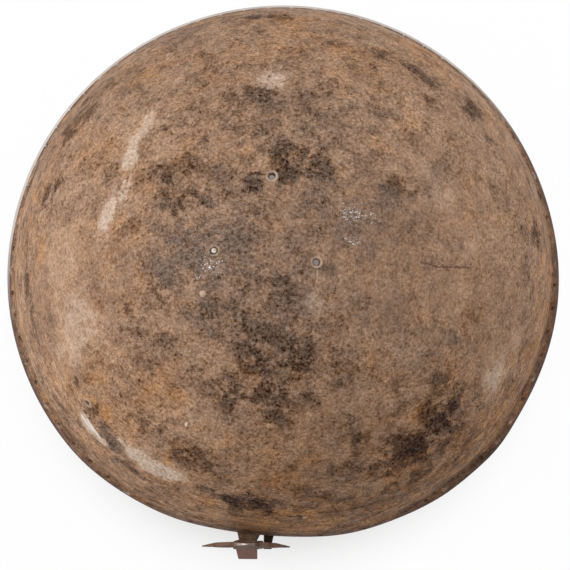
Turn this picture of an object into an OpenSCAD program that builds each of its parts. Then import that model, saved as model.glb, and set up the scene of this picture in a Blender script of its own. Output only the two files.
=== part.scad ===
// Bare kulah khud: a raised iron skull with a sliding nasal and its clamp screw.
// The origin is the middle of the rim, +Z points to the crown and the brow faces -Y.

/* [Skull] */
// Outer radius of the domed part
dome_r = 101; // [96:0.5:106]
// Height of the crown above the rim
skull_h = 93; // [86:0.5:104]
// Thickness of the iron
wall = 1.5; // [1.1:0.1:2.2]
// Outer radius of the turned-out rim edge
rim_r = 103.5; // [102.5:0.5:106]
// Height of the turned-out rim
flare_h = 6; // [4:0.5:9]

/* [Flattened brow] */
// How far the brow is hammered in from the round
brow_flat = 4.4; // [2:0.2:6]
// Radius of the brow curve along the rim
brow_r = 126.5; // [116:0.5:140]
// Height where the flattening has died out
brow_top = 50; // [40:1:65]
// Turn of the flattening about the upright axis
brow_turn = 3.5; // [0:0.5:6]

/* [Holes for the mail] */
// Diameter of a mail hole
mail_hole_d = 1.9; // [1.4:0.1:2.4]
// Distance between two mail holes along the rim
mail_pitch = 8.7; // [6.5:0.1:12]
// Turn of the first mail hole about the upright axis
mail_start = 3.6; // [0:0.1:5]
// How far the hand-punched row strays from even spacing, in degrees
mail_wander = 1; // [0:0.1:1.2]
// Height of the row of holes above the rim edge
mail_hole_z = 3; // [2.2:0.1:3.8]

/* [Crown holes] */
// Diameter of the circle through the three crown rivets
crown_pcd = 39; // [30:0.5:48]
// Diameter of a crown rivet hole
crown_hole_d = 2; // [1.4:0.1:3]
// Sideways place of the crown circle
crown_x = -5.5; // [-8:0.5:8]
// Front to back place of the crown circle
crown_y = -1.5; // [-8:0.5:8]
// Turn of the crown circle about the upright axis
crown_turn = 0; // [-20:1:20]

/* [Nasal] */
// Width of the bar
bar_w = 8.2; // [7:0.1:10]
// Width of the bar's lower end
bar_tip_w = 7.8; // [6:0.1:8.2]
// Thickness of the bar
bar_t = 1.6; // [1.4:0.1:2.6]
// Length of the bar below the leaf
bar_len = 106; // [80:1:130]
// Distance from the rim edge to the bar's back
bar_off = 3; // [2.6:0.1:6]
// Span of the leaf's side points
leaf_span = 32.4; // [28:0.1:40]
// Height of the leaf
leaf_h = 22; // [18:0.5:28]
// Thickness of the leaf in the middle
leaf_t = 1.8; // [1.6:0.1:3]
// Turn of the nasal and its guide about the upright axis
nasal_turn = 7; // [0:0.5:8]

/* [Guide] */
// Thickness of the guide's strap
strap_t = 1.4; // [1.1:0.1:1.8]
// Width of the strap where it passes under the rim
strap_w = 10.6; // [8.8:0.2:12]
// Width of the strap where it meets the loop
strap_tip_w = 6.4; // [5.6:0.2:8]
// Sideways place of the strap
strap_x = 0.6; // [0:0.1:2]
// Height of the guide's loop
loop_h = 9; // [8.5:0.5:14]
// Thickness of the loop's walls
loop_t = 0.6; // [0.5:0.1:1]
// Width of the foot riveted inside the brow
foot_w = 36; // [30:0.5:42]
// Height of that foot
foot_h = 11; // [9:0.5:14]
// Height of the foot's middle above the rim
rivet_z = 24; // [16:0.5:28]
// Sideways place of the foot's middle
foot_x = 4; // [0:0.5:6]
// Distance between the two foot rivets
rivet_pitch = 26; // [20:0.5:28]
// Diameter of a foot rivet's shank
rivet_d = 2.6; // [2:0.1:3.2]
// Diameter of its head
rivet_head_d = 5; // [4.2:0.1:6]

/* [Clamp screw] */
// Diameter of the shank
screw_d = 2; // [1.6:0.1:2.2]
// Diameter of the boss that it turns in
boss_d = 3; // [2.9:0.1:3.4]
// Length of that boss
boss_len = 1.4; // [1:0.1:2]
// Reach of the thumb piece from the screw's axis
thumb_reach = 5; // [4.4:0.1:5.4]
// Height of the thumb piece
thumb_h = 4.6; // [3.6:0.1:6]
// Thickness of the thumb piece at its outer end
thumb_t = 4; // [3:0.1:5]

/* [Hidden] */
$fn = 128;

// Seats that lie still, the slot of the bar, and the screw in its boss
seat_gap = 0.1;
rest_gap = 0.3;
slide_gap = 0.12;
turn_gap = 0.05;
cut = 4;                     // how far a cutter reaches past what it cuts

// The round form is a ball about the upright axis, with a cone for the turned-out rim
dome_z = skull_h - dome_r;
neck_r = sqrt(pow(dome_r, 2) - pow(flare_h - dome_z, 2));
flare = rim_r - neck_r;
flare_slope = flare / flare_h;
// The brow is trimmed by a flatter ball about an upright axis further back
brow_y = brow_r - (rim_r - brow_flat);
brow_top_r = sqrt(pow(dome_r, 2) - pow(brow_top - dome_z, 2)) + brow_y;
brow_z = (pow(brow_top, 2) - (pow(brow_r, 2) - pow(brow_top_r, 2))) / (2 * brow_top);
brow_ball_r = sqrt(pow(brow_r, 2) + pow(brow_z, 2));
brow_pos = [-brow_y * sin(brow_turn), brow_y * cos(brow_turn), brow_z];

// The mail holes crowd and thin out three times round the rim, most open near +X
mail_count = floor(2 * PI * rim_r / mail_pitch);
function mail_even(i) = mail_start + i * 360 / mail_count;
function mail_angle(i) = mail_even(i) + mail_wander * cos(3 * (mail_even(i) - 13));

// Crown rivets: back, front left and front right, punched by hand and so not quite even
crown_r = crown_pcd / 2;
crown_angles = [94, 206, 335];
nub_xy = [-24.8, -24.9];     // where the small repair rivet sits before the crown circle
nub_d = 2.2;

// The bar hangs before the brow edge, and its guide and screw are placed from it
brow_edge_y = brow_pos[1] - sqrt(pow(brow_r, 2) - pow(brow_pos[0], 2));
bar_y = brow_edge_y - bar_off - bar_t / 2;
strap_top = -rest_gap;
slot_w = bar_w + 2 * slide_gap;
slot_t = bar_t + 2 * slide_gap;
loop_w = slot_w + 2 * loop_t;
loop_y = slot_t / 2 + loop_t;   // from the bar's middle to the loop's front and back
bevel = 0.4;                    // how deep the bar's back corners are bevelled
bevel_w = 0.9;                  // and how wide
foot_z = rivet_z - foot_h / 2;
screw_z = strap_top - loop_h / 2;
screw_tip = bar_w / 2 + 0.02;
boss_end = loop_w / 2 + boss_len;
thumb_x = boss_end + 0.25;
thumb_root_t = thumb_t * 0.75;
screw_grip = 1.6;            // how far the shank runs into the thumb piece

// The skull's outer form grown inwards by off, run on below the rim by reach: a ball, a cone
// that leaves it at the neck, and a flatter ball that trims the brow
module skull_form(off, reach) {
    inner_r = dome_r - off;
    waist = sqrt(pow(inner_r, 2) - pow(flare_h - dome_z, 2));
    intersection() {
        union() {
            intersection() {
                translate([0, 0, dome_z]) sphere(r = inner_r);
                translate([-dome_r - cut, -dome_r - cut, -reach])
                    cube([2 * (dome_r + cut), 2 * (dome_r + cut), 2 * dome_r]);
            }
            translate([0, 0, -reach])
                cylinder(h = flare_h + 1 + reach, r1 = waist + flare_slope * (flare_h + reach),
                         r2 = waist - flare_slope);
        }
        translate(brow_pos) sphere(r = brow_ball_r - off);
    }
}

// Carries its children to a place on the skull's outer face, with +Z square out of the brow's
// ball there or else of the dome
module square_out(place, on_brow) {
    out = place - (on_brow ? brow_pos : [0, 0, dome_z]);
    translate(place) rotate([0, acos(out[2] / norm(out)), atan2(out[1], out[0])]) children();
}

// Carries its children to the outer face above [x, y], which is the lower of the two balls
module on_skull(x, y) {
    dome = dome_z + sqrt(pow(dome_r, 2) - pow(x, 2) - pow(y, 2));
    brow = brow_z + sqrt(pow(brow_ball_r, 2) - pow(x - brow_pos[0], 2) - pow(y - brow_pos[1], 2));
    square_out([x, y, min(dome, brow)], brow < dome) children();
}

// Carries its children to one of the three crown holes
module at_crown(i) {
    a = crown_angles[i] + crown_turn;
    on_skull(crown_x + crown_r * cos(a), crown_y + crown_r * sin(a)) children();
}

// Carries its children to the middle of the bar at the rim's height, turned with the nasal
module at_bar() {
    translate([0, bar_y, 0]) rotate([0, 0, nasal_turn]) children();
}

// The bar, its slot and the loop seen from above: square in front, bevelled at the back corners
module bevelled(width, thick, across, deep) {
    polygon([[-width / 2, -thick / 2], [width / 2, -thick / 2], [width / 2, thick / 2 - deep],
             [width / 2 - across, thick / 2], [across - width / 2, thick / 2],
             [-width / 2, thick / 2 - deep]]);
}

// Carries its children to a foot rivet, -1 left and 1 right, with +Z square out of the brow,
// which is the flatter ball or the dome, whichever lies further in there
module at_rivet(side) {
    x = foot_x + side * rivet_pitch / 2;
    brow = brow_pos[1] - sqrt(pow(brow_ball_r, 2) - pow(x - brow_pos[0], 2)
                              - pow(rivet_z - brow_z, 2));
    dome = -sqrt(pow(dome_r, 2) - pow(x, 2) - pow(rivet_z - dome_z, 2));
    square_out([x, max(brow, dome), rivet_z], brow > dome) children();
}

module mail_holes() {
    inside_r = 0.85 * min(dome_r, rim_r);
    for (i = [0 : mail_count - 1])
        rotate([0, 0, mail_angle(i)]) translate([inside_r, 0, mail_hole_z]) rotate([0, 90, 0])
            cylinder(h = max(dome_r, rim_r) + cut - inside_r, d = mail_hole_d, $fn = 24);
}

module skull() {
    color([0.52, 0.40, 0.31])
    difference() {
        skull_form(0, 0);
        skull_form(wall, cut);
        mail_holes();
        for (i = [0 : 2])
            at_crown(i) translate([0, 0, -2 * wall])
                cylinder(h = 4 * wall, d = crown_hole_d, $fn = 48);
        on_skull(nub_xy[0], nub_xy[1]) translate([0, 0, -2 * wall])
            cylinder(h = 4 * wall, d = nub_d, $fn = 48);
        for (side = [-1, 1])
            at_rivet(side) translate([0, 0, -2 * wall])
                cylinder(h = 4 * wall, d = rivet_d, $fn = 48);
    }
}

// The guide is one forging: a foot inside the brow, a strap that runs down and out under
// the rim edge, the loop that the bar slides in, and the screw's boss on its right cheek
module nasal_guide() {
    root_y = bar_off + bar_t / 2 + wall + strap_t;
    root_x = strap_x + root_y * tan(nasal_turn);
    color([0.36, 0.29, 0.23])
    difference() {
        union() {
            intersection() {
                difference() {
                    skull_form(wall + seat_gap, cut);
                    skull_form(wall + seat_gap + strap_t, 2 * cut);
                }
                union() {
                    translate([foot_x - foot_w / 2, -rim_r, foot_z])
                        cube([foot_w, rim_r / 2, foot_h]);
                    translate([strap_x - strap_w / 2, -rim_r, strap_top - strap_t])
                        cube([strap_w, rim_r / 2, foot_z + foot_h - strap_top + strap_t]);
                }
            }
            at_bar() translate([0, 0, strap_top - strap_t])
                linear_extrude(height = strap_t)
                    polygon([[strap_x - strap_tip_w / 2, slot_t / 2],
                             [strap_x + strap_tip_w / 2, slot_t / 2],
                             [root_x + strap_w / 2, root_y], [root_x - strap_w / 2, root_y]]);
            at_bar() translate([0, 0, strap_top - loop_h]) linear_extrude(height = loop_h)
                bevelled(loop_w, 2 * loop_y, bevel_w * 2, bevel * 1.5);
            at_bar() translate([loop_w / 2 - loop_t * 0.9, 0, screw_z]) rotate([0, 90, 0])
                cylinder(h = boss_len + loop_t * 0.9, d = boss_d, $fn = 48);
        }
        at_bar() translate([0, 0, strap_top - loop_h - cut])
            linear_extrude(height = loop_h + 2 * cut) bevelled(slot_w, slot_t, bevel_w, bevel);
        at_bar() translate([0, 0, screw_z])
            rotate([0, 90, 0]) cylinder(h = boss_end + cut, d = screw_d + 2 * turn_gap, $fn = 48);
        for (side = [-1, 1])
            at_rivet(side) translate([0, 0, -4 * wall])
                cylinder(h = 6 * wall, d = rivet_d, $fn = 48);
    }
}

// A rivet with a low head outside and its end hammered over on the foot inside
module foot_rivet(side) {
    inside = wall + 2 * seat_gap + strap_t;
    head_h = 0.7;
    head_r = (pow(rivet_head_d / 2, 2) + pow(head_h, 2)) / (2 * head_h);
    color([0.45, 0.35, 0.27])
    at_rivet(side) {
        translate([0, 0, -inside - head_h])
            cylinder(h = inside + head_h + seat_gap, d = rivet_d - 0.02, $fn = 48);
        intersection() {
            translate([0, 0, seat_gap + head_h - head_r]) sphere(r = head_r);
            translate([0, 0, seat_gap]) cylinder(h = 2 * head_h, d = rivet_head_d, $fn = 48);
        }
        translate([0, 0, -inside - head_h]) cylinder(h = head_h, d = rivet_d * 1.5, $fn = 48);
    }
}

// A pointed leaf, drawn as the overlap of two circles: long along X, thick along Y
module leaf_outline(length, thick) {
    r = (pow(length / 2, 2) + pow(thick / 2, 2)) / thick;
    intersection() {
        translate([0, thick / 2 - r]) circle(r = r);
        translate([0, r - thick / 2]) circle(r = r);
    }
}

// The leaf seen from above: flat in front, and behind thick in the middle and thin at the points
module leaf_plan() {
    point_t = leaf_t * 0.25;
    polygon([[-leaf_span / 2, 0], [leaf_span / 2, 0], [leaf_span / 2, point_t],
             [leaf_span * 0.34, leaf_t * 0.85], [leaf_span * 0.14, leaf_t],
             [-leaf_span * 0.14, leaf_t], [-leaf_span * 0.34, leaf_t * 0.85],
             [-leaf_span / 2, point_t]]);
}

// The leaf seen from its side: it thins from behind towards the tip of the middle petal
module leaf_side() {
    polygon([[0, 0], [leaf_t, 0], [leaf_t, leaf_h * 0.42], [leaf_t * 0.3, leaf_h], [0, leaf_h]]);
}

// The nasal is one forging: a flat bar that narrows downwards, and a leaf with side points
// on top, flush with the loop in front, whose shoulders rest on it
module nasal_bar() {
    point_z = leaf_h * 0.3;
    lobe_x = leaf_span * 0.24;
    color([0.42, 0.31, 0.26])
    at_bar() union() {
        intersection() {
            rotate([90, 0, 0]) linear_extrude(height = 2 * bar_t, center = true)
                polygon([[-bar_w / 2, point_z], [-bar_w / 2, strap_top - loop_h],
                         [-bar_tip_w / 2, -bar_len], [bar_tip_w / 2, -bar_len],
                         [bar_w / 2, strap_top - loop_h], [bar_w / 2, point_z]]);
            translate([0, 0, -bar_len]) linear_extrude(height = bar_len + point_z)
                bevelled(bar_w, bar_t, bevel_w, bevel);
        }
        translate([0, -loop_y, 0]) intersection() {
            rotate([90, 0, 0]) linear_extrude(height = 4 * leaf_t, center = true)
                intersection() {
                    union() {
                        translate([0, leaf_h * 0.4]) rotate(90)
                            leaf_outline(leaf_h * 1.2, leaf_h * 0.42);
                        translate([0, point_z]) leaf_outline(leaf_span, leaf_h * 0.36);
                        for (side = [-1, 1])
                            translate([side * lobe_x, point_z * 0.8]) circle(d = leaf_h * 0.38);
                    }
                    translate([-leaf_span, 0]) square([2 * leaf_span, 2 * leaf_h]);
                }
            linear_extrude(height = leaf_h) leaf_plan();
            rotate([90, 0, 90]) linear_extrude(height = 2 * leaf_span, center = true) leaf_side();
        }
    }
}

// The shank turns in the boss and bears on the bar's edge
module clamp_screw() {
    color([0.20, 0.16, 0.14])
    at_bar() translate([0, 0, screw_z]) rotate([0, 90, 0]) {
        translate([0, 0, screw_tip])
            cylinder(h = thumb_x - screw_tip + screw_grip, d = screw_d, $fn = 48);
    }
}

// The thumb piece is a thick lever on the shank's end, wider at its outer end
module thumb_piece() {
    root = screw_d / 2 + 0.6;
    color([0.17, 0.13, 0.12])
    at_bar() translate([0, 0, screw_z])
    difference() {
        union() {
            translate([thumb_x, 0, 0]) rotate([0, 90, 0])
                cylinder(h = thumb_root_t, r = root, $fn = 48);
            intersection() {
                translate([0, 0, -thumb_h / 2]) linear_extrude(height = thumb_h)
                    polygon([[thumb_x, 0], [thumb_x + thumb_root_t, 0],
                             [thumb_x + thumb_t, thumb_reach], [thumb_x, thumb_reach]]);
                translate([thumb_x, 0, 0]) rotate([0, 90, 0])
                    cylinder(h = thumb_t, r = thumb_reach, $fn = 96);
            }
        }
        translate([thumb_x - cut, 0, 0]) rotate([0, 90, 0])
            cylinder(h = cut + screw_grip + rest_gap, d = screw_d + 0.02, $fn = 48);
    }
}

// The broken shank of a crown rivet, burred over inside
module crown_rivet_stub() {
    color([0.62, 0.56, 0.50])
    at_crown(1) {
        translate([0, 0, -wall - seat_gap - 0.8])
            cylinder(h = wall + seat_gap + 1.15, d = crown_hole_d - 0.3, $fn = 48);
        translate([0, 0, -wall - seat_gap - 0.8]) cylinder(h = 0.8, d = crown_hole_d * 1.7, $fn = 48);
    }
}

// A small repair rivet beside the crown circle
module crown_nub_rivet() {
    head_r = nub_d * 0.62;
    color([0.60, 0.50, 0.41])
    on_skull(nub_xy[0], nub_xy[1]) {
        translate([0, 0, -wall - seat_gap - 0.6])
            cylinder(h = wall + 2 * seat_gap + 0.6, d = nub_d - 0.02, $fn = 48);
        intersection() {
            translate([0, 0, seat_gap - head_r * 0.4]) sphere(r = head_r);
            translate([0, 0, seat_gap]) cylinder(h = head_r, r = 2 * head_r, $fn = 48);
        }
        translate([0, 0, -wall - seat_gap - 0.6]) cylinder(h = 0.6, d = nub_d * 1.5, $fn = 48);
    }
}

skull();
nasal_guide();
foot_rivet(-1);  // foot_rivet_left
foot_rivet(1);  // foot_rivet_right
nasal_bar();
clamp_screw();
thumb_piece();
crown_rivet_stub();
crown_nub_rivet();
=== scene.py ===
"""The look of a bare kulah khud: its skull, nasal, guide, clamp screw and rivets.

Mesh code works in millimetres and degrees, and piece() turns the points into metres. +Z is the
crown, the brow faces -Y and the clamp screw is on the +X side, as in the CAD model. Marks of age,
with marks of painted shade and sheen among them, are placed by the photograph's pixels, and
seen_at() finds them on the skull.
"""
import math

import bpy
import numpy as np
from mathutils import Matrix, Vector


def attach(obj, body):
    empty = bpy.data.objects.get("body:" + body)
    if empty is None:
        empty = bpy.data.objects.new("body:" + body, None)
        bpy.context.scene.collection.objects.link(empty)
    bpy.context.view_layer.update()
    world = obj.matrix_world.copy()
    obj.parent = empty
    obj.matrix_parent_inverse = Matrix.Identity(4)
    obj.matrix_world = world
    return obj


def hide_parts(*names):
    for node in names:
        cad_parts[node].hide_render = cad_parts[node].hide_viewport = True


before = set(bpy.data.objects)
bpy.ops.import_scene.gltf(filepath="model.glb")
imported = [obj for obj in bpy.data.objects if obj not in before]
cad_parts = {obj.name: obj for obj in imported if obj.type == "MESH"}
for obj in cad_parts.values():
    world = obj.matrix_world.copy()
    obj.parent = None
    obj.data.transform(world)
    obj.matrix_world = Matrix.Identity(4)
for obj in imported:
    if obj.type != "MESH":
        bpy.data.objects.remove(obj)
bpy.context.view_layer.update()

# Camera: above the helmet, a little before the brow

AZIMUTH, ELEVATION, ROLL = math.radians(4.343), math.radians(81.2), math.radians(3.242)
DISTANCE, SIDE, RISE = 0.9512, 0.0011435, -0.0048017
LENS, SENSOR = 159.4, 36.0
# The photograph's width and height. Places in it are counted in pixels from its top left corner.
PHOTO_SIZE = 570
FOCAL = LENS / SENSOR * PHOTO_SIZE


def camera_frame():
    """The camera's place, and the ways to its right, its top and its back."""
    back = Vector((math.sin(AZIMUTH) * math.cos(ELEVATION),
                   -math.cos(AZIMUTH) * math.cos(ELEVATION), math.sin(ELEVATION)))
    right = Vector((math.cos(AZIMUTH), math.sin(AZIMUTH), 0))
    up = back.cross(right)
    place = back * DISTANCE + right * SIDE + up * RISE
    turned = right * math.cos(ROLL) + up * math.sin(ROLL)
    top = up * math.cos(ROLL) - right * math.sin(ROLL)
    return place, turned, top, back


def make_camera():
    place, turned, top, back = camera_frame()
    data = bpy.data.cameras.new("camera")
    data.sensor_width = SENSOR
    data.lens = LENS
    data.clip_end = 20
    camera = bpy.data.objects.new("camera", data)
    bpy.context.scene.collection.objects.link(camera)
    camera.matrix_world = Matrix.Translation(place) @ Matrix((turned, top, back)).transposed().to_4x4()
    bpy.context.scene.camera = camera


make_camera()

# Sizes of the CAD model, in millimetres

DOME_R, DOME_Z, WALL = 101.0, -8.0, 1.5
RIM_R, FLARE_H = 103.5, 6.0
BROW_R, BROW_FLAT, BROW_TOP, BROW_TURN = 126.5, 4.4, 50.0, math.radians(3.5)
BROW_BACK = BROW_R - (RIM_R - BROW_FLAT)
BROW_TOP_R = math.sqrt(DOME_R ** 2 - (BROW_TOP - DOME_Z) ** 2) + BROW_BACK
BROW_Z = (BROW_TOP ** 2 - (BROW_R ** 2 - BROW_TOP_R ** 2)) / (2 * BROW_TOP)
BROW_BALL = math.hypot(BROW_R, BROW_Z)
BROW_C = (-BROW_BACK * math.sin(BROW_TURN), BROW_BACK * math.cos(BROW_TURN), BROW_Z)
MAIL_COUNT, MAIL_START, MAIL_WANDER, MAIL_Z, MAIL_R = 74, 3.6, 1.0, 3.0, 0.95
CROWN_X, CROWN_Y, CROWN_R = -5.5, -1.5, 19.5
CROWN_TURNS = {"back": 94, "left": 206, "right": 335}
CROWN_HOLES = {name: (CROWN_X + CROWN_R * math.cos(math.radians(turn)),
                      CROWN_Y + CROWN_R * math.sin(math.radians(turn))) for name, turn in CROWN_TURNS.items()}


# Small helpers for numbers

def smooth(x, low, high):
    """0 below low, 1 above high, and a soft step between them."""
    t = np.clip((x - low) / (high - low), 0, 1)
    return t * t * (3 - 2 * t)


def soft_min(a, b, width):
    """The smaller of two, rounded where they differ by less than width."""
    h = np.clip(0.5 + 0.5 * (b - a) / width, 0, 1)
    return b * (1 - h) + a * h - width * h * (1 - h)


def waves(points, size, seed, count=28):
    """Smooth noise near -1 to 1: a sum of plane waves of about the given size, in random directions."""
    rng = np.random.default_rng(seed)
    way = rng.normal(size=(count, 3))
    way /= np.linalg.norm(way, axis=1)[:, None]
    way *= (2 * math.pi / (size * rng.uniform(0.7, 1.6, count)))[:, None]
    phase = rng.uniform(0, 2 * math.pi, count)
    return np.cos(points @ way.T + phase).sum(1) / math.sqrt(count)


# Meshes

class Shape:
    """Points and faces that are gathered piece by piece, with named values on the points."""

    def __init__(self):
        self.points, self.faces, self.marks, self.size = [], [], {}, 0

    def add(self, points):
        points = np.asarray(points, float)
        flat = points.reshape(-1, 3)
        index = np.arange(self.size, self.size + len(flat)).reshape(points.shape[:-1])
        self.points.append(flat)
        self.size += len(flat)
        return index

    def grid(self, index, closed=False, flip=False):
        """Quads between the rows of an index table; closed joins the last column to the first."""
        nxt = np.roll(index, -1, 1) if closed else index[:, 1:]
        now = index if closed else index[:, :-1]
        quads = np.stack([now[:-1], nxt[:-1], nxt[1:], now[1:]], -1).reshape(-1, 4)
        self.faces += (quads[:, ::-1] if flip else quads).tolist()

    def mark(self, name, index, value):
        self.marks.setdefault(name, []).append((np.ravel(index), np.ravel(value)))


def piece(name, shape, body, nodes, material):
    """Makes the object of a shape, rides it on its body and lets it stand for its CAD nodes."""
    mesh = bpy.data.meshes.new(name)
    points = np.concatenate(shape.points)
    mesh.from_pydata((points * 0.001).tolist(), [], shape.faces)
    for key, parts in shape.marks.items():
        values = np.zeros(len(points), np.float32)
        for index, value in parts:
            values[index] = value
        mesh.attributes.new(key, "FLOAT", "POINT").data.foreach_set("value", values)
    mesh.polygons.foreach_set("use_smooth", np.ones(len(mesh.polygons), bool))
    mesh.materials.append(material)
    mesh.update()
    obj = bpy.data.objects.new(name, mesh)
    bpy.context.scene.collection.objects.link(obj)
    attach(obj, body)
    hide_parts(*nodes)
    return obj


# Marks of age on the skull, with painted shade and sheen among them

# Each mark is (u, v, half length, half width, turn, strength): a soft oval noted on the
# photograph, in its pixels. The turn runs from right towards down, in degrees.
MARKS = {
    # Dark patina; the broad ovals over the lower right and the front also darken it as painted shade on that
    # side.
    "dark": [
        (300, 160, 36, 20, 15, 0.75), (285, 150, 14, 12, 0, 0.7), (256, 183, 15, 9, -35, 0.85),
        (186, 203, 15, 12, 0, 0.6), (167, 191, 9, 8, 0, 0.55), (172, 168, 22, 10, 0, 0.3),
        (228, 318, 32, 17, 8, 0.38), (258, 334, 26, 14, 30, 0.5), (285, 358, 48, 26, 10, 0.6),
        (312, 362, 24, 13, 20, 0.5), (264, 396, 44, 24, 10, 0.6), (188, 452, 46, 12, 33, 0.4),
        (250, 504, 40, 7, 5, 0.9), (270, 511, 12, 4, 12, 0.8), (446, 416, 28, 16, -52, 1),
        (410, 447, 30, 13, -35, 1), (392, 467, 15, 9, -50, 0.6), (425, 440, 66, 34, -37, 0.55),
        (347, 500, 12, 12, 0, 0.5), (350, 500, 80, 20, -8, 0.25), (29, 296, 32, 3, 84, 0.6),
        (38, 226, 14, 4, 85, 0.35), (78, 378, 12, 7, 60, 0.5), (97, 416, 16, 8, 60, 0.6),
        (112, 444, 10, 6, 30, 0.6), (160, 293, 9, 10, 0, 0.55), (126, 309, 5, 8, 20, 0.4),
        (132, 334, 15, 10, 0, 0.25), (165, 344, 14, 9, 20, 0.5), (175, 363, 8, 6, 0, 0.4),
        (137, 421, 14, 8, 35, 0.45), (128, 468, 16, 4, 35, 0.5), (152, 498, 20, 3, 28, 0.4),
        (62, 408, 18, 4, 56, 0.4), (168, 129, 7, 6, 0, 0.5), (198, 85, 12, 5, -20, 0.4),
        (256, 92, 16, 9, 0, 0.5), (80, 116, 36, 7, -50, 0.5), (46, 198, 12, 4, -70, 0.7),
        (57, 184, 13, 3, -66, 0.7), (346, 44, 16, 4, 15, 0.6), (390, 57, 14, 6, 15, 0.45),
        (418, 75, 18, 6, 35, 0.6), (474, 108, 14, 5, 57, 0.75), (489, 137, 9, 5, 60, 0.5),
        (501, 155, 12, 5, 62, 0.4), (426, 102, 12, 7, 0, 0.45), (537, 232, 14, 4, 84, 0.6),
        (402, 185, 22, 11, 15, 0.6), (316, 116, 12, 6, 0, 0.3), (283, 286, 12, 14, 0, 0.5),
        (327, 272, 7, 6, 0, 0.4), (268, 16, 28, 2.5, -3, 0.7), (480, 455, 20, 4, -48, 0.45),
        (205, 490, 26, 6, 22, 0.35), (352, 352, 12, 9, 0, 0.3),
    ],
    "grey": [
        (202, 252, 52, 42, -10, 1), (365, 225, 46, 38, -20, 0.75), (330, 190, 34, 22, 20, 0.6),
        (210, 318, 34, 24, 20, 0.6), (428, 350, 42, 26, -20, 0.4), (316, 302, 18, 22, 0, 0.7),
        (275, 72, 24, 9, 0, 0.5), (440, 180, 22, 34, 10, 0.35), (112, 444, 26, 12, 35, 0.6),
        (290, 250, 133, 122, 0, 0.45), (300, 118, 90, 38, 0, 0.45),
    ],
    # Pale marks: partly pale worn patina, partly painted sheen and reflections of the lamps, as the streaks
    # on the upper left and lower left and the broad patch on the left.
    "pale": [
        (146, 126, 30, 6, -64, 0.6), (131, 158, 22, 8, -72, 0.85), (124, 192, 18, 9, -75, 0.6),
        (108, 214, 30, 8, -66, 0.75), (89, 427, 15, 3.5, 52, 1), (101, 440, 8, 3, 45, 0.9),
        (143, 459, 32, 9, 31, 0.8), (170, 474, 20, 7, 25, 0.75), (444, 200, 15, 18, 0, 0.4),
        (470, 248, 10, 16, 0, 0.35), (426, 166, 9, 18, 0, 0.35), (495, 376, 12, 26, 25, 0.55),
        (516, 339, 6, 16, 12, 0.45), (76, 326, 22, 44, 5, 0.5), (372, 485, 26, 8, -14, 0.35),
        (316, 306, 9, 12, 0, 0.45), (272, 78, 22, 12, 0, 0.6), (60, 262, 16, 44, 5, 0.4),
        (464, 288, 14, 28, 5, 0.3), (350, 262, 46, 36, 0, 0.2), (378, 336, 36, 30, 0, 0.22),
        (185, 420, 40, 26, 30, 0.3),
    ],
    "rust": [
        (41, 252, 4, 17, 4, 0.9), (285, 20, 34, 5, 0, 0.55), (430, 58, 34, 8, 35, 0.6),
        (178, 400, 26, 18, 10, 0.45), (227, 196, 14, 9, 0, 0.5), (192, 169, 11, 7, 0, 0.45),
        (270, 228, 18, 15, 0, 0.4), (265, 311, 14, 11, 0, 0.45), (245, 155, 16, 9, -30, 0.35),
        (150, 395, 26, 16, 20, 0.3), (458, 370, 20, 26, 20, 0.35), (424, 459, 14, 6, -40, 0.4),
        (372, 452, 12, 8, -20, 0.4), (330, 470, 150, 46, -6, 0.25),
    ],
    "bare": [
        (350, 214, 13, 9, 25, 0.9), (353, 240, 9, 5, 10, 0.8), (373, 218, 6, 10, 0, 0.4),
        (213, 267, 15, 10, 20, 0.8), (198, 277, 9, 4, 0, 0.7), (84, 404, 5, 4, 0, 0.6),
    ],
    "calm": [
        (430, 240, 100, 80, 80, 1), (480, 160, 40, 60, -30, 0.6), (500, 330, 30, 60, 15, 0.8),
        (60, 290, 40, 90, 2, 0.9), (350, 430, 60, 40, 0, 0.4),
    ],
}


def seen_at(u, v):
    """The place on the skull that lies under a pixel of the photograph: where the line of sight
    has entered the dome's ball and the brow's ball. One that misses a ball passes it closest."""
    place, right, top, back = camera_frame()
    start = np.array(place) * 1000
    half = PHOTO_SIZE / 2
    way = np.array(right * (u - half) - top * (v - half) - back * FOCAL)
    way /= np.linalg.norm(way)
    enter = 0.0
    for centre, radius in (((0, 0, DOME_Z), DOME_R), (BROW_C, BROW_BALL)):
        away = np.array(centre) - start
        middle = away @ way
        enter = max(enter, middle - math.sqrt(max(radius ** 2 - away @ away + middle ** 2, 0)))
    return start + way * enter


def half_axis(u, v, size, turn, out):
    """Half an oval's axis on the skull, laid flat to the outward way."""
    du, dv = size * math.cos(turn), size * math.sin(turn)
    axis = (seen_at(u + du, v + dv) - seen_at(u - du, v - dv)) / 2
    return axis - out * (axis @ out)


def mark_strength(points, marks):
    """The strongest of the marks at each point, with edges that wander by a third of their size."""
    wander = 1 + 0.22 * waves(points, 9, 5) + 0.16 * waves(points, 4, 6)
    found = np.zeros(len(points))
    for u, v, long, wide, turn, strength in marks:
        place = seen_at(u, v)
        out = place - (0, 0, DOME_Z)
        out /= np.linalg.norm(out)
        along = half_axis(u, v, long, math.radians(turn), out)
        across = half_axis(u, v, wide, math.radians(turn + 90), out)
        # Shares of the two half axes, which need not stand square to each other on the skull
        to_along, to_across = np.cross(across, out), np.cross(out, along)
        to_along /= along @ to_along
        to_across /= across @ to_across
        away = points - place
        depth = 2 * max(np.linalg.norm(along), np.linalg.norm(across))
        reach = np.sqrt((away @ to_along) ** 2 + (away @ to_across) ** 2 + (away @ out / depth) ** 2)
        found = np.maximum(found, strength * (1 - smooth(reach * wander, 0.45, 1.35)))
    return found


# The skull

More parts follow.
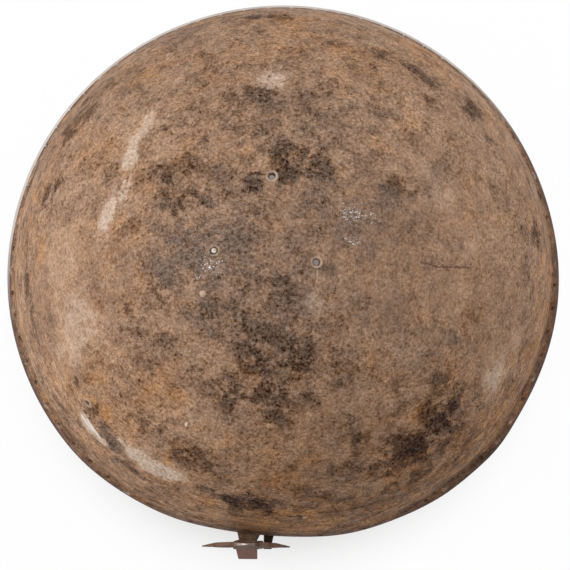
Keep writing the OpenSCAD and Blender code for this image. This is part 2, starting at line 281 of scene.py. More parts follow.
# Where the old rim is pushed out or in: turn and half width in degrees, and distance
RIM_BENDS = ((2, 18, 0.80), (328, 6, 0.70), (291, 10, 1.05), (254, 8, 0.60), (66, 20, 0.30),
             (130, 32, -0.25), (195, 20, 0.25), (237, 6, -0.45), (310, 7, -0.3))

COLUMNS = 4 * MAIL_COUNT
STEP = 360 / COLUMNS
CAP_R = 40.0
# Heights of the rows in the turned-out rim; the four steps round MAIL_Z hold the mail holes
RIM_ROWS = [0.42, 0.62, 0.85, 1.1, 1.4, 1.8, 2.4, 3.0, 3.6, 4.2, 4.8, 5.4, 6.1, 7.0, 8.2]
HOLE_ROW = 5
ARC_ROWS, ARC_LIFT = 63, 1.4
# The net over the crown is turned by this many columns against the rim's
NET_TURN = 3
# From the square of cells round a mail hole to its bore: share of the way from square to circle,
# the circle's radius, and how far the ring is sunk
RIM_AT_HOLES = 101.6
MAIL_RINGS = ((0.5, 1.35, 0), (0.85, 1.35, 0), (1, 1.14, 0), (1, MAIL_R, 0.14))
# Half the side of the square that is cut from the net round a crown hole, in cells
CROWN_HALF = 3
# The rounded lower edge, from outside to inside: share of the wall's thickness, and height
EDGE_ROWS = ((0.02, 0.2), (0.12, 0.06), (0.3, 0.0), (0.7, 0.0), (0.88, 0.06), (0.98, 0.2))


def rim_angle(even):
    """Where a column that would stand at the even angle stands in the hand-punched rim."""
    return even + MAIL_WANDER * np.cos(np.radians(3 * (even - 13)))


def ball_height(radius, away):
    """The height of a ball round the dome's centre, at a distance from the upright axis."""
    return DOME_Z + np.sqrt(radius ** 2 - away ** 2)


def brow_reach(turn, z, off):
    """How far the flatter brow ball, grown inwards by off, lies from the upright axis."""
    cos, sin = np.cos(turn), np.sin(turn)
    b = cos * BROW_C[0] + sin * BROW_C[1]
    level = (BROW_BALL - off) ** 2 - (z - BROW_C[2]) ** 2
    return b + np.sqrt(np.maximum(b * b - BROW_C[0] ** 2 - BROW_C[1] ** 2 + level, 0))


def on_skull(turn, radius, z, off):
    """Points at a turn, radius and height, held back to the brow where that lies further in, and
    moved in and out by the low facets that the raising hammer left."""
    turn, radius, z = np.broadcast_arrays(np.asarray(turn, float), radius, z)
    radius = soft_min(radius, brow_reach(turn, z, off), 1.2)
    bend = 0.0
    for place, half, push in RIM_BENDS:
        away = np.degrees(np.angle(np.exp(1j * (turn - math.radians(place)))))
        bend = bend + push * np.exp(-((away / half) ** 2))
    radius = radius + bend * (1 - smooth(z, 2, 22))
    points = np.stack([radius * np.cos(turn), radius * np.sin(turn), z], -1)
    flat = points.reshape(-1, 3)
    out = flat - (0, 0, DOME_Z)
    out /= np.linalg.norm(out, axis=1)[:, None]
    fade = smooth(flat[:, 2], 4, 14)
    dents = 0.10 * waves(flat, 17, 1) + 0.05 * waves(flat, 8, 2)
    return (flat + out * (dents * fade)[:, None]).reshape(points.shape)


def rim_radius(z, off):
    """The dome's radius at a height, turned out towards the edge in a hollow curve, with one
    narrow groove just inside the edge."""
    z = np.asarray(z, float)
    dome = np.sqrt((DOME_R - off) ** 2 - (z - DOME_Z) ** 2)
    edge = 1.08 * (RIM_R - math.sqrt(DOME_R ** 2 - DOME_Z ** 2))
    groove = 0.0 if off else 0.22 * np.exp(-((z - 1.25) / 0.3) ** 2)
    return dome + edge * np.clip(1 - z / FLARE_H, 0, 1) ** 1.35 - groove


def cap_plan():
    """Plan points of a square net that is bent into a disc of radius CAP_R, edges to the circle."""
    a, b = np.meshgrid(np.linspace(-1, 1, MAIL_COUNT + 1), np.linspace(-1, 1, MAIL_COUNT + 1))
    wide = np.abs(a) > np.abs(b)
    r = np.where(wide, a, b)
    with np.errstate(divide="ignore", invalid="ignore"):
        turn = np.where(wide, math.pi / 4 * b / a, math.pi / 2 - math.pi / 4 * a / b)
    turn = np.where(r == 0, 0, turn)
    return CAP_R * r * np.cos(turn), CAP_R * r * np.sin(turn)


def skull_side(shape, off):
    """One face of the skull. Returns the rim's lowest row and the rings of all the holes.

    Rows climb the rim and then the dome at even steps of arc to a circle of radius CAP_R, where
    the columns meet the edge of the square net that closes the crown."""
    flip = off > 0
    radius_ball = DOME_R - off
    turns, radii, heights = [], [], []
    even = MAIL_START + STEP * np.arange(COLUMNS)
    top_even = STEP * (np.arange(COLUMNS) + NET_TURN)
    start = math.acos((RIM_ROWS[-1] + ARC_LIFT - DOME_Z) / DOME_R)
    end = math.asin(CAP_R / DOME_R)
    arc = np.linspace(start, end, ARC_ROWS + 1)[:-1]
    for z in RIM_ROWS:
        turns.append(rim_angle(even))
        radii.append(rim_radius(z, off))
        heights.append(z)
    for k, tilt in enumerate(arc):
        share = smooth(k / len(arc), 0, 1)
        turns.append(rim_angle(even) * (1 - share) + top_even * share)
        radii.append(radius_ball * math.sin(tilt))
        heights.append(DOME_Z + radius_ball * math.cos(tilt))
    turns = np.radians(np.array(turns))
    index = shape.add(on_skull(turns, np.array(radii)[:, None], np.array(heights)[:, None], off))

    x, y = cap_plan()
    x, y = x * radius_ball / DOME_R, y * radius_ball / DOME_R
    flat_r = np.hypot(x, y)
    cap = shape.add(on_skull(np.arctan2(y, x), flat_r, ball_height(radius_ball, flat_r), off))
    edge = np.concatenate([cap[:-1, -1], cap[-1, :0:-1], cap[:0:-1, 0], cap[0, :-1]])
    ring = np.roll(edge, COLUMNS // 8)          # the net's edge starts at -45 degrees
    index = np.vstack([index, np.roll(ring, -COLUMNS // 4 - NET_TURN)[None]])

    shape.grid(index[:HOLE_ROW + 1], True, flip)
    shape.grid(index[HOLE_ROW + 4:], True, flip)

    # The square of cells round a mail hole, walked once from its lower left corner
    step = np.concatenate([np.arange(-2, 3), [2] * 3, np.arange(2, -3, -1), [-2] * 3])
    climb = np.concatenate([[0] * 5, [1, 2, 3], [4] * 5, [3, 2, 1]])
    z_block = np.array(RIM_ROWS)[HOLE_ROW + climb]
    around = np.radians(225 + 22.5 * np.arange(16))
    rings, mail = [], []
    for k in range(MAIL_COUNT):
        last = index[HOLE_ROW + climb, (4 * k + step) % COLUMNS]
        at = rim_angle(MAIL_START + STEP * 4 * k)
        turn_block = rim_angle(MAIL_START + STEP * (4 * k + step))
        fresh = []
        for blend, r, sink in MAIL_RINGS:
            turn_ring = at + np.degrees(r * np.cos(around) / RIM_AT_HOLES)
            turn = turn_block * (1 - blend) + turn_ring * blend
            z = z_block * (1 - blend) + (MAIL_Z + r * np.sin(around)) * blend
            radius = rim_radius(z, off) + (sink if off else -sink)
            now = shape.add(on_skull(np.radians(turn), radius, z, off))
            shape.grid(np.stack([last, now]), True, flip)
            fresh.append(now)
            last = now
        mail.append((fresh, around))
        rings.append(last)

    keep = np.ones((MAIL_COUNT, MAIL_COUNT), bool)
    x0, y0 = cap_plan()
    crown = {}
    side = 2 * CROWN_HALF
    rise = np.arange(-CROWN_HALF, CROWN_HALF)
    square_i = np.concatenate([rise, [CROWN_HALF] * side, -rise, [-CROWN_HALF] * side])
    square_j = np.concatenate([[-CROWN_HALF] * side, rise, [CROWN_HALF] * side, -rise])
    for name, (hx, hy) in CROWN_HOLES.items():
        j, i = np.unravel_index(np.argmin((x0 - hx) ** 2 + (y0 - hy) ** 2), x0.shape)
        keep[j - CROWN_HALF:j + CROWN_HALF, i - CROWN_HALF:i + CROWN_HALF] = False
        net = (j + square_j, i + square_i)
        around = np.arctan2(y0[net] - hy, x0[net] - hx)
        last, fresh = cap[net], []
        for r, lift in CROWN_LIPS[name]:
            if off:
                lift = 0
            burr = lift * (1 + CROWN_BURR[name] * np.cos(3 * around + 1.1) * np.cos(5 * around))
            px, py = hx + r * np.cos(around), hy + r * np.sin(around)
            ball = radius_ball + burr
            px, py = px * ball / DOME_R, py * ball / DOME_R
            pr = np.hypot(px, py)
            now = shape.add(on_skull(np.arctan2(py, px), pr, ball_height(ball, pr), off))
            shape.grid(np.stack([last, now]), True, flip)
            fresh.append(now)
            last = now
        crown[name] = (fresh, around)
        rings.append(last)
    quads = np.stack([cap[:-1, :-1], cap[:-1, 1:], cap[1:, 1:], cap[1:, :-1]], -1)[keep]
    shape.faces += (quads[:, ::-1] if flip else quads).tolist()
    return index[0], rings, mail, crown


# Rings round each crown hole, from the outside in: radius and height of its raised lip
CROWN_LIPS = {
    "back": ((2.5, 0.0), (2.1, 0.12), (1.8, 0.40), (1.55, 0.44), (1.22, 0.10), (1.0, -0.2)),
    "left": ((2.4, 0.0), (2.0, 0.14), (1.75, 0.22), (1.5, 0.14), (1.2, -0.08), (1.0, -0.3)),
    "right": ((2.5, 0.0), (2.1, 0.14), (1.8, 0.30), (1.55, 0.28), (1.22, 0.05), (1.0, -0.2)),
}
CROWN_BURR = {"back": 0.12, "left": 0.4, "right": 0.7}
# How bright each lip is, and the turn at which it is least so
CROWN_LIP_BRIGHT = {"back": (1.0, 1.2), "left": (0.6, 2.5), "right": (0.85, 1.0)}


def make_skull(material):
    shape = Shape()
    low_out, rings_out, mail, crown = skull_side(shape, 0.0)
    outside = shape.size
    low_in, rings_in, _, _ = skull_side(shape, WALL)
    for a, b in zip(rings_out, rings_in):
        shape.grid(np.stack([a, b]), True)
    points = np.concatenate(shape.points)
    # The rounded edge: points between the lowest rows, from the outside under to the inside
    a, b = points[low_out], points[low_in]
    rows = [low_out]
    for share, z in EDGE_ROWS:
        row = a * (1 - share) + b * share
        row[:, 2] = z
        rows.append(shape.add(row))
    rows.append(low_in)
    shape.grid(np.stack(rows), True, True)

    points = np.concatenate(shape.points)
    outer = np.arange(outside)
    for name, marks in MARKS.items():
        shape.mark(name, outer, mark_strength(points[:outside], marks))
    # The inside face is marked for painted shade; the rounded lower edge is not.
    shape.mark("inside", np.arange(outside, shape.size), np.ones(shape.size - outside))
    shape.mark("inside", np.concatenate(rows[1:-1]), np.zeros(COLUMNS * len(EDGE_ROWS)))
    rng = np.random.default_rng(11)
    # Painted light: each mail hole's lip is lit brighter on its lower side, and its bore brighter too, by a
    # random amount for each hole.
    for (fresh, around), far in zip(mail, rings_in):
        bright = rng.uniform(0.0, 0.75) ** 1.5
        low = 0.5 - 0.5 * np.sin(around)
        shape.mark("lip", fresh[2], bright * low)
        shape.mark("lip", fresh[3], bright * low)
        shape.mark("lip", far, bright * np.ones(len(far)))
        shape.mark("inside", far, np.zeros(len(far)))
    for name, (fresh, around) in crown.items():
        side = 0.75 - 0.25 * np.sin(around - CROWN_LIP_BRIGHT[name][1])
        for k, value in enumerate((0.0, 0.3, 1.0, 0.9, 0.1, 0.0)):
            shape.mark("lip", fresh[k], value * CROWN_LIP_BRIGHT[name][0] * side)
        # Painted shade in the bores of the crown holes.
        shape.mark("inside", fresh[4], np.full(len(around), 0.9))
        shape.mark("inside", fresh[5], np.ones(len(around)))
    return piece("skull_raised", shape, "helmet", ["skull"], material)


# Materials

def rgb(red, green, blue):
    """A display colour from 0 to 255, as the linear colour that the shaders take."""
    return tuple(((c / 255 + 0.055) / 1.055) ** 2.4 if c > 10 else c / 255 / 12.92
                 for c in (red, green, blue))


class Net:
    """Short ways to make and join the nodes of one tree."""

    def __init__(self, tree):
        self.tree = tree

    def node(self, kind, **settings):
        made = self.tree.nodes.new(kind)
        for key, value in settings.items():
            setattr(made, key, value)
        return made

    def put(self, socket, value):
        if isinstance(value, bpy.types.NodeSocket):
            self.tree.links.new(value, socket)
        elif isinstance(value, tuple) and len(value) == 3 and socket.type == "RGBA":
            socket.default_value = (*value, 1)
        else:
            socket.default_value = value

    def math(self, how, a, b=0.0, c=0.0, clamp=False):
        made = self.node("ShaderNodeMath", operation=how, use_clamp=clamp)
        for socket, value in zip(made.inputs, (a, b, c)):
            self.put(socket, value)
        return made.outputs[0]

    def noise(self, vector, scale, detail=3.0, rough=0.55, warp=0.0):
        made = self.node("ShaderNodeTexNoise")
        self.put(made.inputs["Vector"], vector)
        settings = {"Scale": scale, "Detail": detail, "Roughness": rough, "Distortion": warp}
        for key, value in settings.items():
            self.put(made.inputs[key], value)
        return made.outputs[0]

    def cells(self, vector, scale):
        made = self.node("ShaderNodeTexVoronoi")
        self.put(made.inputs["Vector"], vector)
        self.put(made.inputs["Scale"], scale)
        return made.outputs["Distance"]

    def step(self, value, low, high, to_low=0.0, to_high=1.0):
        made = self.node("ShaderNodeMapRange", interpolation_type="SMOOTHSTEP")
        for socket, given in zip(made.inputs, (value, low, high, to_low, to_high)):
            self.put(socket, given)
        return made.outputs[0]

    def mix(self, share, a, b, how="MIX"):
        made = self.node("ShaderNodeMix", data_type="RGBA", blend_type=how)
        self.put(made.inputs[0], share)
        self.put(made.inputs[6], a)
        self.put(made.inputs[7], b)
        return made.outputs[2]

    def blend(self, share, a, b):
        made = self.node("ShaderNodeMix", data_type="FLOAT")
        self.put(made.inputs[0], share)
        self.put(made.inputs[2], a)
        self.put(made.inputs[3], b)
        return made.outputs[0]

    def sum(self, *values):
        total = values[0]
        for value in values[1:]:
            total = self.math("ADD", total, value)
        return total

    def ramp(self, value, *stops):
        made = self.node("ShaderNodeValToRGB")
        self.put(made.inputs[0], value)
        elements = made.color_ramp.elements
        while len(elements) < len(stops):
            elements.new(0.5)
        for element, (place, color) in zip(elements, stops):
            element.position = place
            element.color = (*color, 1)
        return made.outputs[0]

    def value(self, name):
        return self.node("ShaderNodeAttribute", attribute_name=name).outputs["Fac"]


def group(name, inputs, outputs):
    """A node group with float, vector and colour sockets, and its first and last nodes."""
    tree = bpy.data.node_groups.new(name, "ShaderNodeTree")
    kinds = {"f": "NodeSocketFloat", "v": "NodeSocketVector", "c": "NodeSocketColor"}
    for side, sockets in (("INPUT", inputs), ("OUTPUT", outputs)):
        for key, kind in sockets:
            tree.interface.new_socket(name=key, in_out=side, socket_type=kinds[kind])
    net = Net(tree)
    return net, net.node("NodeGroupInput").outputs, net.node("NodeGroupOutput").inputs


def patina_group():
    """Old iron: grain of every size from specks to clouds runs through a ramp from black to pale
    tan. The marks shift it to dark, grey, pale, rusty or bare; the pale marks are partly painted
    sheen, and Shade darkens it as painted shade. Ring is a vector whose noise runs in streaks
    round the skull."""
    net, take, give = group(
        "patina",
        [("Vector", "v"), ("Ring", "v"), ("Streaks", "f"), ("Dark", "f"), ("Grey", "f"), ("Pale", "f"),
         ("Rust", "f"), ("Bare", "f"), ("Calm", "f"), ("Shade", "f")],
        [("Color", "c"), ("Roughness", "f"), ("Height", "f"), ("Metal", "f")])
    at = take["Vector"]
    fine = net.noise(at, 900, 2.0, 0.95)
    mid = net.noise(at, 240, 2.0, 0.85, 0.2)
    broad = net.noise(at, 46, 2.0, 0.8, 0.35)
    isle = net.noise(at, 130, 4.0, 0.68, 0.4)
    streak = net.noise(take["Ring"], 1.0, 3.0, 0.75)
    calm = net.sum(1.0, net.math("MULTIPLY", take["Pale"], -0.3), net.math("MULTIPLY", take["Calm"], -0.40),
                   net.math("MULTIPLY", take["Dark"], 0.12))
    # Islands with clear shores: darker iron between patches of tan rust
    shore = net.sum(isle, net.math("MULTIPLY", take["Dark"], 0.10), net.math("MULTIPLY", take["Grey"], 0.05),
                    net.math("MULTIPLY", take["Pale"], -0.05))
    islands = net.step(shore, 0.49, 0.57)
    # Flecks: small dark pits that crowd together where the iron is dark
    crowd = net.sum(net.noise(at, 560, 2.0, 0.75, 0.15), net.math("MULTIPLY", take["Dark"], 0.05),
                    net.math("MULTIPLY_ADD", isle, 0.22, -0.11), net.math("MULTIPLY", take["Pale"], -0.03))
    flecks = net.math("MULTIPLY", net.step(crowd, 0.575, 0.66), calm)

    tone = net.sum(
        0.575,
        net.math("MULTIPLY", net.math("MULTIPLY_ADD", mid, 0.36, -0.18), calm),
        net.math("MULTIPLY_ADD", broad, 0.20, -0.10),
        net.math("MULTIPLY", net.math("MULTIPLY_ADD", islands, -0.08, 0.035), calm),
        net.math("MULTIPLY", net.math("MULTIPLY_ADD", streak, 0.9, -0.45), take["Streaks"]),
        net.math("MULTIPLY", take["Dark"], net.math("MULTIPLY_ADD", islands, -0.15, -0.10)),
        net.math("MULTIPLY", take["Grey"], -0.09),
        net.math("MULTIPLY", take["Pale"], 0.17),
        net.math("MULTIPLY", take["Shade"], -0.14))
    color = net.ramp(tone, (0.0, rgb(34, 23, 16)), (0.26, rgb(66, 48, 36)), (0.40, rgb(98, 75, 58)),
                     (0.54, rgb(137, 108, 87)), (0.66, rgb(165, 133, 108)), (0.80, rgb(193, 162, 135)),
                     (1.0, rgb(216, 190, 163)))
    hue = net.noise(at, 120, 1.0, 0.7, 0.3)
    drift = net.noise(at, 30, 1.0, 0.6, 0.3)
    warm = net.sum(net.math("MULTIPLY", hue, 0.61), net.math("MULTIPLY", drift, 0.45),
                   net.math("MULTIPLY", take["Rust"], 0.30), net.math("MULTIPLY", take["Grey"], -0.13), -0.03)
    tint = net.ramp(warm, (0.34, (0.98, 1.00, 1.03)), (0.48, (1.00, 0.995, 0.985)),
                    (0.62, (1.06, 0.975, 0.87)), (0.80, (1.18, 0.93, 0.60)))
    color = net.mix(net.math("MULTIPLY_ADD", take["Calm"], -0.5, 1.0), color, tint, "MULTIPLY")
    greyed = net.math("MULTIPLY", take["Grey"], net.math("MULTIPLY_ADD", islands, 0.3, 0.25))
    color = net.mix(greyed, color, rgb(110, 97, 89))
    # Where the pale marks lie the colour turns pale tan: partly worn patina, partly painted sheen.
    sheen_and_wear = net.sum(net.math("MULTIPLY", take["Pale"], 0.35), mid, net.math("MULTIPLY", flecks, -0.25))
    worn = net.math("MULTIPLY", net.step(take["Pale"], 0.25, 0.75), net.step(sheen_and_wear, 0.50, 0.70, 0.0, 0.95))
    color = net.mix(worn, color, rgb(190, 167, 149))
    # Flecks and the finest grain are nearly grey: they scale the colour and are added to it too
    color = net.mix(1.0, color, net.math("MULTIPLY_ADD", flecks, -0.32, 1.0), "MULTIPLY")
    color = net.mix(1.0, color, net.math("MULTIPLY_ADD", flecks, -0.017, 0.001), "ADD")
    grain = net.math("MULTIPLY", net.math("ADD", fine, -0.5), net.math("MULTIPLY_ADD", calm, 0.6, 0.4))
    color = net.mix(1.0, color, net.math("MULTIPLY_ADD", grain, 1.6, 1.0), "MULTIPLY")
    color = net.mix(1.0, color, net.math("MULTIPLY", grain, 0.27), "ADD")
    glint = net.math("ADD", net.noise(at, 2300, 1.0, 0.6), net.math("MULTIPLY", take["Bare"], 0.13))
    bright = net.math("MULTIPLY", net.step(glint, 0.72, 0.79),
                      net.math("MULTIPLY", take["Bare"], 3.0, clamp=True))
    color = net.mix(bright, color, rgb(225, 225, 228))

    pits = net.step(net.cells(at, 700), 0.08, 0.32, -0.8, 0.0)
    height = net.sum(net.math("MULTIPLY", pits, net.step(mid, 0.62, 0.42)),
                     net.math("MULTIPLY", flecks, -0.6), net.math("MULTIPLY", mid, 0.8),
                     net.math("MULTIPLY", fine, 0.6))
    rough = net.sum(0.47, net.math("MULTIPLY", fine, 0.25), net.math("MULTIPLY", take["Pale"], -0.06))
    net.put(give["Color"], color)
    net.put(give["Roughness"], rough)
    net.put(give["Height"], height)
    net.put(give["Metal"], net.math("MULTIPLY", bright, 0.9))
    return net.tree


def line_group():
    """A mask of a short line from From to To, Width wide, whose sides wander a little."""
    net, take, give = group(
        "line", [("Vector", "v"), ("From", "v"), ("To", "v"), ("Width", "f")], [("Mask", "f")])

    def vector(how, a, b):
        made = net.node("ShaderNodeVectorMath", operation=how)
        net.put(made.inputs[0], a)
        net.put(made.inputs[1], b)
        return made.outputs

    way = vector("SUBTRACT", take["To"], take["From"])[0]
    away = vector("SUBTRACT", take["Vector"], take["From"])[0]
    share = net.math("DIVIDE", vector("DOT_PRODUCT", away, way)["Value"],
                     vector("DOT_PRODUCT", way, way)["Value"], clamp=True)
    foot = net.node("ShaderNodeVectorMath", operation="SCALE")
    net.put(foot.inputs[0], way)
    net.put(foot.inputs["Scale"], share)
    far = vector("LENGTH", vector("SUBTRACT", away, foot.outputs[0])[0], (0.0, 0.0, 0.0))["Value"]
    ragged = net.math("MULTIPLY_ADD", net.noise(take["Vector"], 900, 2.0, 0.7), 0.0016, -0.0008)
    ratio = net.math("DIVIDE", net.math("ADD", far, ragged), take["Width"])
    net.put(give["Mask"], net.step(ratio, 0.65, 0.35))
    return net.tree


# Single marks on the skull: what they show, both ends in the photograph's pixels, width in millimetres
LINES = [
    ("dark", (291.5, 516.5), (300.5, 516), 1.5), ("bare", (297, 518.5), (305, 517.5), 1.1),
    ("worn", (217.5, 512.5), (223.5, 514.5), 0.9), ("worn", (223.5, 514.5), (230, 515.5), 0.9),
    ("worn", (87.5, 402), (88.5, 403.5), 3.4), ("dark", (87, 402), (88, 403), 1.8),
    ("worn", (85, 412), (86, 413.5), 3.2), ("dark", (85, 412), (86, 412.5), 1.8),
    ("bare", (82, 416.5), (92, 430), 1.2), ("bare", (87, 419.5), (98, 434.5), 1.4),
    ("worn", (95.5, 432.5), (107.5, 445), 1.3), ("bare", (91.5, 427), (100, 437.5), 0.9),
    ("crack", (420, 262), (439, 267), 0.8), ("crack", (439, 267), (457.5, 267), 0.9),
    ("crack", (457.5, 267), (470, 268), 0.7), ("bare", (185.5, 425), (186.5, 423), 0.8),
    ("worn", (317.5, 270), (317, 282.5), 0.5), ("dark", (210.5, 249), (210.5, 252.5), 0.8),
    ("dark", (211, 253), (214.5, 255), 0.7),
]
LINE_COLORS = {"dark": rgb(52, 38, 32), "bare": rgb(222, 212, 206), "worn": rgb(196, 166, 142),
               "crack": rgb(96, 66, 56)}
LINE_STRENGTH = {"dark": 0.85, "bare": 0.8, "worn": 0.6, "crack": 0.75}


def new_material(name):
    material = bpy.data.materials.new(name)
    material.use_nodes = True
    net = Net(material.node_tree)
    return material, net, material.node_tree.nodes["Principled BSDF"]


def finish_iron(net, bsdf, color, rough, height, metal, depth=0.00022, sheen=0.05):
    bump = net.node("ShaderNodeBump")
    bump.inputs["Strength"].default_value = 0.5
    bump.inputs["Distance"].default_value = depth
    net.put(bump.inputs["Height"], height)
    net.put(bsdf.inputs["Normal"], bump.outputs[0])
    net.put(bsdf.inputs["Base Color"], color)
    net.put(bsdf.inputs["Roughness"], rough)
    net.put(bsdf.inputs["Metallic"], metal)
    bsdf.inputs["Specular IOR Level"].default_value = sheen


def skull_material(patina):
    """The skull's patina, with streaks that gather towards the rim, painted shade in a crease above the
    rim edge, and painted light on the rim: shade at the front and right and on the very edge, and a
    painted reflection that lights the edge at the back."""
    material, net, bsdf = new_material("skull_patina_and_painted_light")
    at = net.node("ShaderNodeTexCoord").outputs["Object"]
    parts = net.node("ShaderNodeSeparateXYZ")
    net.put(parts.inputs[0], at)
    x, y, z = parts.outputs
    reach = net.math("SQRT", net.math("ADD", net.math("MULTIPLY", x, x), net.math("MULTIPLY", y, y)))
    ring = net.node("ShaderNodeCombineXYZ")
    net.put(ring.inputs[0], net.math("MULTIPLY", net.math("DIVIDE", x, reach), 11.0))
    net.put(ring.inputs[1], net.math("MULTIPLY", net.math("DIVIDE", y, reach), 11.0))
    net.put(ring.inputs[2], net.math("MULTIPLY", z, 420.0))
    made = net.node("ShaderNodeGroup", node_tree=patina)
    net.put(made.inputs["Vector"], at)
    net.put(made.inputs["Ring"], ring.outputs[0])
    net.put(made.inputs["Streaks"], net.step(z, 0.062, 0.012, 0.0, 0.75))
    front = net.step(net.math("SUBTRACT", net.math("MULTIPLY", x, 0.6), y), -0.09, 0.08, 0.1, 0.75)
    for key in ("dark", "grey", "pale", "bare", "calm"):
        net.put(made.inputs[key.capitalize()], net.value(key))
    net.put(made.inputs["Rust"], net.math("MULTIPLY_ADD", net.math("MULTIPLY", front, 0.55),
                                          net.step(z, 0.055, 0.020), net.value("rust")))
    # Painted shade: darker near the rim at the front and right, and over the whole inside face.
    low = net.math("MULTIPLY", net.step(z, 0.012, 0.004), front)
    inside = net.value("inside")
    net.put(made.inputs["Shade"], net.math("MAXIMUM", low, inside))

    color = made.outputs["Color"]
    lines = line_group()
    for kind, start, end, width in LINES:
        line = net.node("ShaderNodeGroup", node_tree=lines)
        net.put(line.inputs["Vector"], at)
        net.put(line.inputs["From"], tuple(float(c) / 1000 for c in seen_at(*start)))
        net.put(line.inputs["To"], tuple(float(c) / 1000 for c in seen_at(*end)))
        net.put(line.inputs["Width"], width / 1000)
        color = net.mix(net.math("MULTIPLY", line.outputs[0], LINE_STRENGTH[kind]), color, LINE_COLORS[kind])

    # The rim: a reddish zone at the front and right, darkened there as painted shade; a dark line of
    # painted shade in the crease all round but there; and the very edge, darkened to mauve as painted
    # shadow, and painted nearly white at the back as a reflection of the pale floor
    outside = net.math("SUBTRACT", 1.0, inside)
    # Painted shade: the front and right of the rim are darkened in a reddish colour.
    ragged = net.math("MULTIPLY_ADD", net.noise(ring.outputs[0], 0.5, 2.0), 0.006, -0.003)
    red = net.math("MULTIPLY", net.step(net.math("ADD", z, ragged), 0.011, 0.002), front)
    color = net.mix(net.math("MULTIPLY", red, 0.55), color, rgb(92, 66, 54))
    back = net.step(net.math("SUBTRACT", y, net.math("MULTIPLY", x, 0.5)), 0.01, 0.07)
    broken = net.step(net.noise(ring.outputs[0], 0.9, 2.0, 0.6), 0.32, 0.6, 0.25, 1.0)
    # Painted shade: a dark line in the crease above the edge.
    crease_shade = net.math("MULTIPLY", net.step(z, 0.0034, 0.0024),
                      net.math("SUBTRACT", 1.0, net.math("MULTIPLY", front, 0.8)))
    color = net.mix(net.math("MULTIPLY", crease_shade, net.math("MULTIPLY", broken, 0.8)), color, rgb(70, 56, 50))
    # Painted shadow: the very edge is darkened to mauve.
    edge_top = net.math("MULTIPLY_ADD", back, 0.0009, 0.0014)
    edge_low = net.math("MULTIPLY_ADD", back, 0.0009, 0.0010)
    edge = net.math("MULTIPLY", net.step(z, edge_top, edge_low), outside)
    color = net.mix(net.math("MULTIPLY", edge, 0.6), color, rgb(98, 80, 76))
    # Painted reflection: the edge at the back is painted nearly white.
    sheen_and_wear = net.math("MULTIPLY", net.math("MULTIPLY", edge, back),
                      net.math("MULTIPLY_ADD", broken, 0.3, 0.7))
    color = net.mix(sheen_and_wear, color, rgb(204, 194, 188))
    lip = net.value("lip")
    color = net.mix(net.math("MULTIPLY", lip, 0.8), color, rgb(206, 180, 158))
    finish_iron(net, bsdf, color, made.outputs["Roughness"], made.outputs["Height"], made.outputs["Metal"])
    return material


def small_iron(name, patina, light, dark, shade, worn=None, low=None):
    """Forged iron of the fittings: two tones of its own laid over the same grain. worn, if given,
    makes a mask from the Object coordinates and the normal, where a highlight is painted bright on an
    edge. low, if given, is the light tone below the rim."""
    material, net, bsdf = new_material(name)
    at = net.node("ShaderNodeTexCoord").outputs["Object"]
    made = net.node("ShaderNodeGroup", node_tree=patina)
    net.put(made.inputs["Vector"], at)
    net.put(made.inputs["Ring"], at)
    if low:
        parts = net.node("ShaderNodeSeparateXYZ")
        net.put(parts.inputs[0], at)
        light = net.mix(net.step(parts.outputs[2], 0.004, -0.006), light, low)
    tone = net.mix(net.step(net.noise(at, 420, 3.0, 0.8, 0.4), 0.36, 0.64, 0.0, 1.0), dark, light)
    color = net.mix(shade, made.outputs["Color"], tone)
    # Painted highlight: a pale colour is laid where the given mask finds a lit edge.
    if worn:
        color = net.mix(worn(net, at), color, rgb(205, 192, 182))
    finish_iron(net, bsdf, color, made.outputs["Roughness"], made.outputs["Height"], made.outputs["Metal"],
                0.00014, 0.02)
    return material


def leaf_edge_highlight(net, at):
    """The top of the leaf's middle petal, painted bright as a highlight where it faces up, broken up by
    noise.
    """
    parts = net.node("ShaderNodeSeparateXYZ")
    net.put(parts.inputs[0], at)
    x, y, z = parts.outputs
    turned = net.node("ShaderNodeSeparateXYZ")
    net.put(turned.inputs[0], net.node("ShaderNodeNewGeometry").outputs["Normal"])
    up = net.step(turned.outputs[2], 0.25, 0.6)
    high = net.step(z, 0.010, 0.013)
    sheen_and_wear = net.step(net.noise(at, 500, 2.0, 0.6), 0.40, 0.52, 0.35, 1.0)
    return net.math("MULTIPLY", net.math("MULTIPLY", up, high), sheen_and_wear)


patina = patina_group()
skull_look = skull_material(patina)
guide_look = small_iron("guide_patina", patina, rgb(108, 90, 70), rgb(68, 56, 44), 0.8)
# The nasal's leaf has a highlight painted on the top of its middle petal.
nasal_look = small_iron("nasal_patina_and_highlight", patina, rgb(118, 98, 86), rgb(84, 58, 49), 0.88, leaf_edge_highlight,
                        rgb(134, 80, 66))
# Painted shade: the clamp screw and its thumb piece are coloured nearly black, for the shadow that the skull
# casts on them.
screw_shaded_look = small_iron("screw_painted_shade", patina, rgb(60, 42, 34), rgb(26, 17, 14), 0.92)
rivet_look = small_iron("rivet_patina", patina, rgb(150, 124, 102), rgb(98, 78, 64), 0.5)
# Painted highlight: the crown nub is coloured pale, as its lit head.
nub_highlight_look = small_iron("nub_painted_highlight", patina, rgb(208, 178, 154), rgb(168, 136, 113), 0.7)
stub_look = small_iron("stub_worn", patina, rgb(226, 216, 204), rgb(176, 160, 144), 0.85)

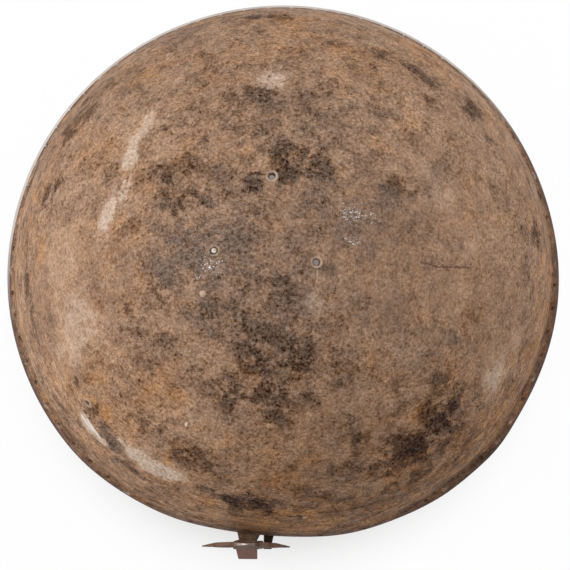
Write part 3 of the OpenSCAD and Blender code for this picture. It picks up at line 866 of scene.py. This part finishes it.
make_skull(skull_look)
LOOKS = {"nasal_guide": (guide_look, 0.22), "nasal_bar": (nasal_look, 0.25), "clamp_screw": (screw_shaded_look, 0.1),
         "thumb_piece": (screw_shaded_look, 0.35), "foot_rivet_left": (rivet_look, 0.15),
         "foot_rivet_right": (rivet_look, 0.15), "crown_rivet_stub": (stub_look, 0.15),
         "crown_nub_rivet": (nub_highlight_look, 0.1)}
for node, (look, width) in LOOKS.items():
    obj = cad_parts[node]
    obj.data.materials.clear()
    obj.data.materials.append(look)
    obj.modifiers.new("joined", "WELD").merge_threshold = 0.000002
    soft = obj.modifiers.new("worn_edges", "BEVEL")
    soft.width = width / 1000
    soft.segments = 2
    soft.limit_method = "ANGLE"
    soft.angle_limit = math.radians(38)

# Floor, world and lamps


FLOOR_HALF, FLOOR_Z = 3.0, -0.112


def seen_directly(net):
    """1 on rays that come from the camera, a reflection or glass, and 0 on all others."""
    rays = net.node("ShaderNodeLightPath").outputs
    return net.math("MAXIMUM", rays["Is Camera Ray"],
                    net.math("MAXIMUM", rays["Is Glossy Ray"], rays["Is Transmission Ray"]))


def make_floor():
    """White where the camera or a reflection sees it; under the skull it shows its own shadow and a
    darker colour painted there as shadow; open from below so that the inside can be looked at."""
    corners = [(x * FLOOR_HALF, y * FLOOR_HALF, FLOOR_Z) for x, y in ((-1, -1), (1, -1), (1, 1), (-1, 1))]
    mesh = bpy.data.meshes.new("floor")
    mesh.from_pydata(corners, [], [(0, 1, 2, 3)])
    floor = bpy.data.objects.new("floor", mesh)
    bpy.context.scene.collection.objects.link(floor)
    material, net, bsdf = new_material("floor_white_with_painted_shadow")
    bsdf.inputs["Roughness"].default_value = 0.9
    flat = net.node("ShaderNodeVectorMath", operation="MULTIPLY")
    net.put(flat.inputs[0], net.node("ShaderNodeTexCoord").outputs["Object"])
    flat.inputs[1].default_value = (1, 1, 0)
    reach = net.node("ShaderNodeVectorMath", operation="LENGTH")
    net.put(reach.inputs[0], flat.outputs[0])
    # Painted shadow: under the skull the floor is coloured darker and is not made white for the camera.
    open_floor = net.step(reach.outputs["Value"], 0.058, 0.120)
    net.put(bsdf.inputs["Base Color"], net.mix(open_floor, (0.42, 0.38, 0.35), (0.88, 0.88, 0.88)))
    glow = net.node("ShaderNodeEmission")
    both = net.node("ShaderNodeMixShader")
    net.put(both.inputs[0], net.math("MULTIPLY", net.math("MULTIPLY", seen_directly(net), open_floor), 0.96))
    net.put(both.inputs[1], bsdf.outputs[0])
    net.put(both.inputs[2], glow.outputs[0])
    below = net.node("ShaderNodeMixShader")
    net.put(below.inputs[0], net.node("ShaderNodeNewGeometry").outputs["Backfacing"])
    net.put(below.inputs[1], both.outputs[0])
    net.put(below.inputs[2], net.node("ShaderNodeBsdfTransparent").outputs[0])
    net.put(material.node_tree.nodes["Material Output"].inputs["Surface"], below.outputs[0])
    mesh.materials.append(material)


def make_world(level):
    world = bpy.data.worlds.new("studio")
    bpy.context.scene.world = world
    world.use_nodes = True
    net = Net(world.node_tree)
    back = world.node_tree.nodes["Background"]
    back.inputs["Color"].default_value = (1, 1, 1, 1)
    net.put(back.inputs["Strength"], net.blend(seen_directly(net), level, 1.0))


# Square soft lamps, all of one size at one distance: the way to each from the helmet, and what it
# adds to a white face turned to it
LAMP_REACH, LAMP_SIZE = 1.3, 1.0
LAMPS = {"key_left": ((-0.975, -0.172, 0.139), 0.80), "over_left": ((-0.5, 0.0, 0.866), 0.28),
         "top": ((0.0, 0.0, 1.0), 0.38), "back_right": ((0.612, 0.612, 0.5), 0.55)}


def lamp(name, way, level):
    way = Vector(way).normalized()
    data = bpy.data.lights.new(name, "AREA")
    data.size = LAMP_SIZE
    data.energy = level * math.pi ** 2 * LAMP_REACH ** 2
    obj = bpy.data.objects.new(name, data)
    bpy.context.scene.collection.objects.link(obj)
    obj.matrix_world = Matrix.Translation(way * LAMP_REACH) @ way.to_track_quat("Z", "Y").to_matrix().to_4x4()


make_floor()
make_world(0.20)
for name, (way, level) in LAMPS.items():
    lamp(name, way, level)
bpy.context.scene.view_settings.view_transform = "Standard"
